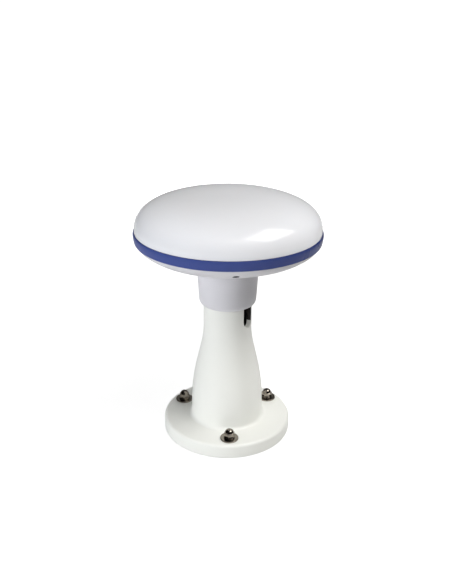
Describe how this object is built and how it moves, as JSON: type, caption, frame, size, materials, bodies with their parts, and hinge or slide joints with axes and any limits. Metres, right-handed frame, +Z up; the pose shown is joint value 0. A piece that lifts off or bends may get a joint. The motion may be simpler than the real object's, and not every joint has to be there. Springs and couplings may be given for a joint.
{
  "type": "gnss receiver",
  "caption": "Mushroom-shaped GNSS receiver head with a blue band round its middle, screwed onto a hollow flared pedestal with a round bolt-down flange.",
  "frame": {"origin": "centre of the pedestal flange's underside, on the axis of the pedestal and the head", "axes": "+Z up along the pedestal's axis to the crown of the radome, -Y the front, through one of the flange's bolt holes"},
  "size_m": [0.151, 0.151, 0.2075],
  "materials": {
    "pedestal_paint": "gloss",
    "stainless": "polished",
    "black_oxide_steel": "satin",
    "housing_grey": "satin",
    "radome_white": "gloss",
    "band_blue": "satin",
    "seal_rubber": "matte",
    "plate_aluminium": "satin",
    "patch_ceramic": "matte",
    "silver_plate": "satin",
    "gold_plated_brass": "satin",
    "zinc_steel": "satin",
    "tinned_steel": "satin",
    "board_green": "satin",
    "component_black": "matte",
    "header_ivory": "satin",
    "cable_black": "matte",
    "brass": "satin",
    "nickelled_brass": "satin"
  },
  "bodies": {
    "pedestal_base": {"pedestal": "pedestal_paint", "cap_nuts": "stainless", "spring_washers": "stainless", "flat_washers": "stainless"},
    "seal_ring": {"collar_seal": "seal_rubber"},
    "receiver_head": {"housing_screws": "black_oxide_steel", "lower_housing": "housing_grey", "radome": "radome_white", "trim_band": "band_blue", "housing_seal": "seal_rubber", "connector_seal": "seal_rubber", "ground_plane": "plate_aluminium", "lower_patch_substrate": "patch_ceramic", "upper_patch_substrate": "patch_ceramic", "lower_patch_element": "silver_plate", "upper_patch_element": "silver_plate", "feed_pins": "gold_plated_brass", "connector_pins": "gold_plated_brass", "rf_connectors": "gold_plated_brass", "patch_screw": "zinc_steel", "patch_nut": "zinc_steel", "plate_screws": "zinc_steel", "lna_shield": "tinned_steel", "receiver_module": "tinned_steel", "backup_battery": "zinc_steel", "lna_board": "board_green", "receiver_board": "board_green", "board_components": "component_black", "wire_header": "header_ivory", "harness_plug": "header_ivory", "wire_harness": "cable_black", "coax_jumper": "cable_black", "standoffs": "brass", "connector_shell": "nickelled_brass", "connector_lock_nut": "nickelled_brass", "connector_insert": "component_black"}
  },
  "joints": [
    {"name": "head_lift", "type": "slide", "parent": "pedestal_base", "child": "seal_ring", "axis": [0, 0, 1], "range_m": [0, 0.0182]},
    {"name": "head_turn", "type": "hinge", "parent": "seal_ring", "child": "receiver_head", "pos_m": [0, 0, 0.13], "axis": [0, 0, 1], "range_deg": [0, 3600]}
  ],
  "couplings": [
    {"joint": "head_lift", "follows": "head_turn", "m_per_rad": 0.00028875}
  ]
}
